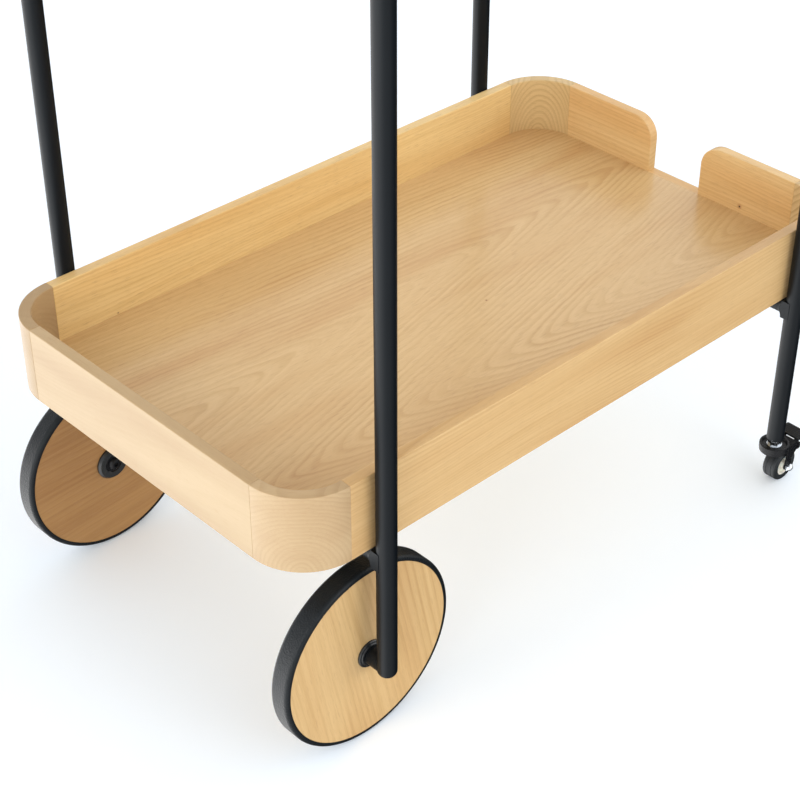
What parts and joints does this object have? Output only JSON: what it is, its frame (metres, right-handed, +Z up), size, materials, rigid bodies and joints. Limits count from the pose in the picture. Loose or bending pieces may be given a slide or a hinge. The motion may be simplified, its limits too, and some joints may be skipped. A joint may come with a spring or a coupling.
{
  "type": "bar cart",
  "caption": "Bar cart with rimmed oak trays in black steel hoops, large disc wheels at one end and braked swivel casters at the other.",
  "frame": {"origin": "on the floor, under the middle of the trays; the big wheels reach 10 mm past the trays, so the box's centre is 5 mm towards them", "axes": "+X along the cart from the big wheels to the swivel casters, +Y to the left when pushing that way, +Z up"},
  "size_m": [0.77, 0.4968, 0.915],
  "materials": {
    "oak_panel": "satin lacquered oak veneer",
    "oak_board": "satin lacquered solid oak",
    "oak_corner": "satin lacquered solid oak, turned corner",
    "oak_veneer": "satin lacquered oak veneer",
    "black_steel": "matte black powder coat",
    "black_enamel": "satin black e-coat",
    "black_bolt": "black oxide",
    "zinc_steel": "bright zinc plate",
    "brass": "plain",
    "black_rubber": "fine grained rubber",
    "grey_rubber": "smooth moulded rubber",
    "black_nylon": "moulded",
    "cream_nylon": "moulded"
  },
  "bodies": {
    "cart": {"lower_tray_base": "oak_panel", "lower_tray_wheel_end_board": "oak_board", "lower_tray_caster_end_board": "oak_board", "lower_tray_right_board": "oak_board", "lower_tray_left_board": "oak_board", "lower_tray_wheel_end_right_corner": "oak_corner", "lower_tray_wheel_end_left_corner": "oak_corner", "lower_tray_caster_end_right_corner": "oak_corner", "lower_tray_caster_end_left_corner": "oak_corner", "upper_tray_base": "oak_panel", "upper_tray_wheel_end_board": "oak_board", "upper_tray_caster_end_board": "oak_board", "upper_tray_right_board": "oak_board", "upper_tray_left_board": "oak_board", "upper_tray_wheel_end_right_corner": "oak_corner", "upper_tray_wheel_end_left_corner": "oak_corner", "upper_tray_caster_end_right_corner": "oak_corner", "upper_tray_caster_end_left_corner": "oak_corner", "wheel_end_hoop": "black_steel", "caster_end_hoop": "black_steel", "lower_cross_tube_wheel_end": "black_steel", "lower_cross_tube_caster_end": "black_steel", "upper_cross_tube_wheel_end": "black_steel", "upper_cross_tube_caster_end": "black_steel", "weld_beads": "black_steel", "tray_screws": "black_steel", "tray_inserts": "brass", "right_axle_stub": "black_steel", "left_axle_stub": "black_steel", "wheel_washers": "black_steel", "wheel_bolts": "black_bolt", "caster_plugs": "zinc_steel", "caster_stems": "zinc_steel", "caster_nuts": "zinc_steel", "caster_cups": "black_enamel"},
    "right_wheel": {"right_wheel_disc": "oak_veneer", "right_tyre": "black_rubber", "right_outer_bush": "black_nylon", "right_hub_cap": "black_nylon"},
    "right_caster": {"right_caster_fork": "black_enamel", "right_caster_balls": "zinc_steel", "right_caster_axle_bolt": "zinc_steel", "right_caster_axle_nut": "zinc_steel", "right_brake_pin": "zinc_steel"},
    "right_caster_wheel": {"right_caster_hub": "cream_nylon", "right_caster_tread": "grey_rubber"},
    "right_brake": {"right_brake_lever": "black_enamel"},
    "left_wheel": {"left_wheel_disc": "oak_veneer", "left_tyre": "black_rubber", "left_outer_bush": "black_nylon", "left_hub_cap": "black_nylon"},
    "left_caster": {"left_caster_fork": "black_enamel", "left_caster_balls": "zinc_steel", "left_caster_axle_bolt": "zinc_steel", "left_caster_axle_nut": "zinc_steel", "left_brake_pin": "zinc_steel"},
    "left_caster_wheel": {"left_caster_hub": "cream_nylon", "left_caster_tread": "grey_rubber"},
    "left_brake": {"left_brake_lever": "black_enamel"}
  },
  "joints": [
    {"name": "right_wheel_spin", "type": "hinge", "parent": "cart", "child": "right_wheel", "pos_m": [-0.29, -0.19675, 0.1], "axis": [0, 1, 0], "continuous": true},
    {"name": "right_caster_swivel", "type": "hinge", "parent": "cart", "child": "right_caster", "pos_m": [0.29, -0.231, 0.045], "axis": [0, 0, 1], "continuous": true},
    {"name": "right_caster_roll", "type": "hinge", "parent": "right_caster", "child": "right_caster_wheel", "pos_m": [0.304, -0.231, 0.019], "axis": [0, 1, 0], "continuous": true},
    {"name": "right_brake_press", "type": "hinge", "parent": "right_caster", "child": "right_brake", "pos_m": [0.319, -0.231, 0.04], "axis": [0, 1, 0], "range_deg": [0, 30]},
    {"name": "left_wheel_spin", "type": "hinge", "parent": "cart", "child": "left_wheel", "pos_m": [-0.29, 0.19675, 0.1], "axis": [0, 1, 0], "continuous": true},
    {"name": "left_caster_swivel", "type": "hinge", "parent": "cart", "child": "left_caster", "pos_m": [0.29, 0.231, 0.045], "axis": [0, 0, 1], "continuous": true},
    {"name": "left_caster_roll", "type": "hinge", "parent": "left_caster", "child": "left_caster_wheel", "pos_m": [0.304, 0.231, 0.019], "axis": [0, 1, 0], "continuous": true},
    {"name": "left_brake_press", "type": "hinge", "parent": "left_caster", "child": "left_brake", "pos_m": [0.319, 0.231, 0.04], "axis": [0, 1, 0], "range_deg": [0, 30]}
  ]
}
